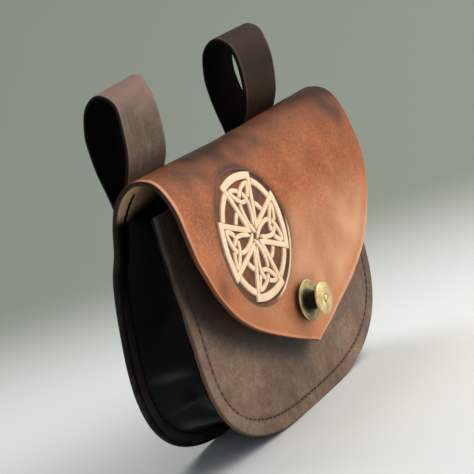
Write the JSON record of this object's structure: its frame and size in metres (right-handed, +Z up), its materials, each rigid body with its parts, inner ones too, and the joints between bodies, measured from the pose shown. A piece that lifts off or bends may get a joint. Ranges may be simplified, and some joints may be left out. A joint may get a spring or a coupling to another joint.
{
  "type": "leather belt bag",
  "caption": "Leather belt bag with a carved round cross on its pointed flap, a brass pull clasp, a soft gusset and loops at the back that slide onto a waist belt.",
  "frame": {"origin": "on the floor under the middle of the standing bag", "axes": "+Z up, -Y out of the bag's front, +X to the right as seen from the front"},
  "size_m": [0.178, 0.064, 0.1699],
  "materials": {
    "cognac_leather": "burnished cognac leather with a dark antique wash",
    "brown_leather": "matt dark brown leather with scuffs",
    "black_leather": "soft black leather, half gloss",
    "aged_brass": "worn satin brass"
  },
  "bodies": {
    "bag": {"back_and_flap": "cognac_leather", "front_panel": "brown_leather", "gusset": "black_leather", "belt_loop_left": "brown_leather", "belt_loop_right": "brown_leather", "clasp_plate": "aged_brass", "clasp_stud": "aged_brass"},
    "knob": {"clasp_knob": "aged_brass"}
  },
  "joints": [
    {"name": "clasp_pull", "type": "slide", "parent": "bag", "child": "knob", "axis": [0, -0.9999, -0.0152], "range_m": [0, 0.002], "stiffness_N_per_m": 600}
  ]
}
